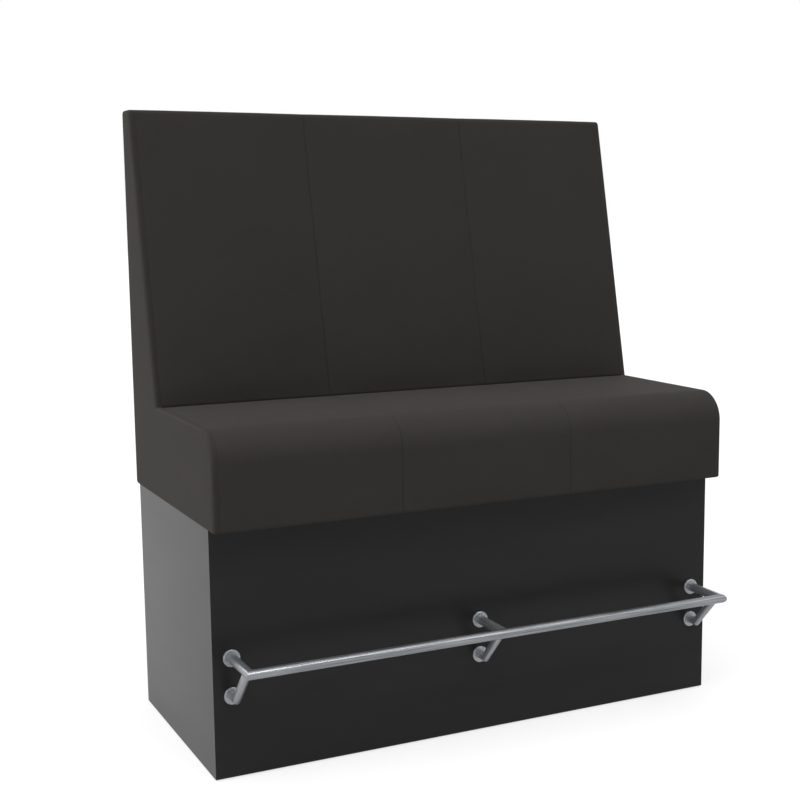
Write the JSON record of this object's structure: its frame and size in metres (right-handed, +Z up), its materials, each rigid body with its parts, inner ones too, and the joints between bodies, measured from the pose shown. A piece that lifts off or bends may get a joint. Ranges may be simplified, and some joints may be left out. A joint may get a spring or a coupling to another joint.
{
  "type": "booth bench",
  "caption": "Bar-height booth bench: upholstered seat and reclined back on a black box plinth, with a tubular foot rail in front and levelling feet underneath.",
  "frame": {"origin": "on the floor, under the middle of the whole bench with its foot rail", "axes": "+X along the bench, to the right for someone facing its front; +Y to its back; +Z up"},
  "size_m": [1.2, 0.666, 1.3515],
  "materials": {
    "plinth_laminate": "matt black laminate on board",
    "plywood": "raw plywood",
    "hardwood": "planed hardwood",
    "hardboard": "smooth hardboard",
    "foot_plastic": "moulded black plastic",
    "zinc_steel": "zinc plated",
    "stainless": "satin brushed stainless steel",
    "foam": "cut foam",
    "upholstery": "smooth matt dark grey artificial leather with a fine grain, tight over wadding",
    "rear_cloth": "the same dark grey artificial leather, on the back"
  },
  "bodies": {
    "frame": {"back_board": "plywood", "back_cover_centre": "upholstery", "back_cover_left": "upholstery", "back_cover_right": "upholstery", "back_foam": "foam", "back_top_rail": "hardwood", "end_frame_left": "plywood", "end_frame_right": "plywood", "foot_block_front_left": "hardwood", "foot_block_front_right": "hardwood", "foot_block_rear_left": "hardwood", "foot_block_rear_right": "hardwood", "foot_inserts": "zinc_steel", "foot_rail": "stainless", "plinth_back_panel": "plinth_laminate", "plinth_deck": "plywood", "plinth_divider_left": "plywood", "plinth_divider_right": "plywood", "plinth_front_panel": "plinth_laminate", "plinth_left_panel": "plinth_laminate", "plinth_right_panel": "plinth_laminate", "rail_arm_left": "stainless", "rail_arm_middle": "stainless", "rail_arm_right": "stainless", "rail_backing_left": "plywood", "rail_backing_middle": "plywood", "rail_backing_right": "plywood", "rail_bolts": "zinc_steel", "rail_brace_left": "stainless", "rail_brace_middle": "stainless", "rail_brace_right": "stainless", "rail_flanges": "stainless", "rail_plugs": "stainless", "rail_stub_left": "stainless", "rail_stub_middle": "stainless", "rail_stub_right": "stainless", "rail_washers": "zinc_steel", "rear_cover": "rear_cloth", "rear_lining": "hardboard", "seam_rib_left": "plywood", "seam_rib_right": "plywood", "seat_base_board": "plywood", "seat_cover_centre": "upholstery", "seat_cover_left": "upholstery", "seat_cover_right": "upholstery", "seat_deck": "plywood", "seat_foam": "foam", "seat_front_rail": "hardwood", "side_cover_left": "upholstery", "side_cover_right": "upholstery", "unit_bolts": "zinc_steel"},
    "pad_front_left": {"foot_pad_front_left": "foot_plastic"},
    "stem_front_left": {"foot_stem_front_left": "zinc_steel"},
    "pad_front_right": {"foot_pad_front_right": "foot_plastic"},
    "stem_front_right": {"foot_stem_front_right": "zinc_steel"},
    "pad_rear_left": {"foot_pad_rear_left": "foot_plastic"},
    "stem_rear_left": {"foot_stem_rear_left": "zinc_steel"},
    "pad_rear_right": {"foot_pad_rear_right": "foot_plastic"},
    "stem_rear_right": {"foot_stem_rear_right": "zinc_steel"}
  },
  "joints": [
    {"name": "front_left_height", "type": "slide", "parent": "frame", "child": "pad_front_left", "axis": [0, 0, -1], "range_m": [0, 0.015]},
    {"name": "front_left_turn", "type": "hinge", "parent": "pad_front_left", "child": "stem_front_left", "pos_m": [-0.55, -0.157, 0.005], "axis": [0, 0, -1], "range_deg": [0, 4320]},
    {"name": "front_right_height", "type": "slide", "parent": "frame", "child": "pad_front_right", "axis": [0, 0, -1], "range_m": [0, 0.015]},
    {"name": "front_right_turn", "type": "hinge", "parent": "pad_front_right", "child": "stem_front_right", "pos_m": [0.55, -0.157, 0.005], "axis": [0, 0, -1], "range_deg": [0, 4320]},
    {"name": "rear_left_height", "type": "slide", "parent": "frame", "child": "pad_rear_left", "axis": [0, 0, -1], "range_m": [0, 0.015]},
    {"name": "rear_left_turn", "type": "hinge", "parent": "pad_rear_left", "child": "stem_rear_left", "pos_m": [-0.55, 0.271, 0.005], "axis": [0, 0, -1], "range_deg": [0, 4320]},
    {"name": "rear_right_height", "type": "slide", "parent": "frame", "child": "pad_rear_right", "axis": [0, 0, -1], "range_m": [0, 0.015]},
    {"name": "rear_right_turn", "type": "hinge", "parent": "pad_rear_right", "child": "stem_rear_right", "pos_m": [0.55, 0.271, 0.005], "axis": [0, 0, -1], "range_deg": [0, 4320]}
  ],
  "couplings": [
    {"joint": "front_left_turn", "follows": "front_left_height", "rad_per_m": 5026.5},
    {"joint": "front_right_turn", "follows": "front_right_height", "rad_per_m": 5026.5},
    {"joint": "rear_left_turn", "follows": "rear_left_height", "rad_per_m": 5026.5},
    {"joint": "rear_right_turn", "follows": "rear_right_height", "rad_per_m": 5026.5}
  ]
}
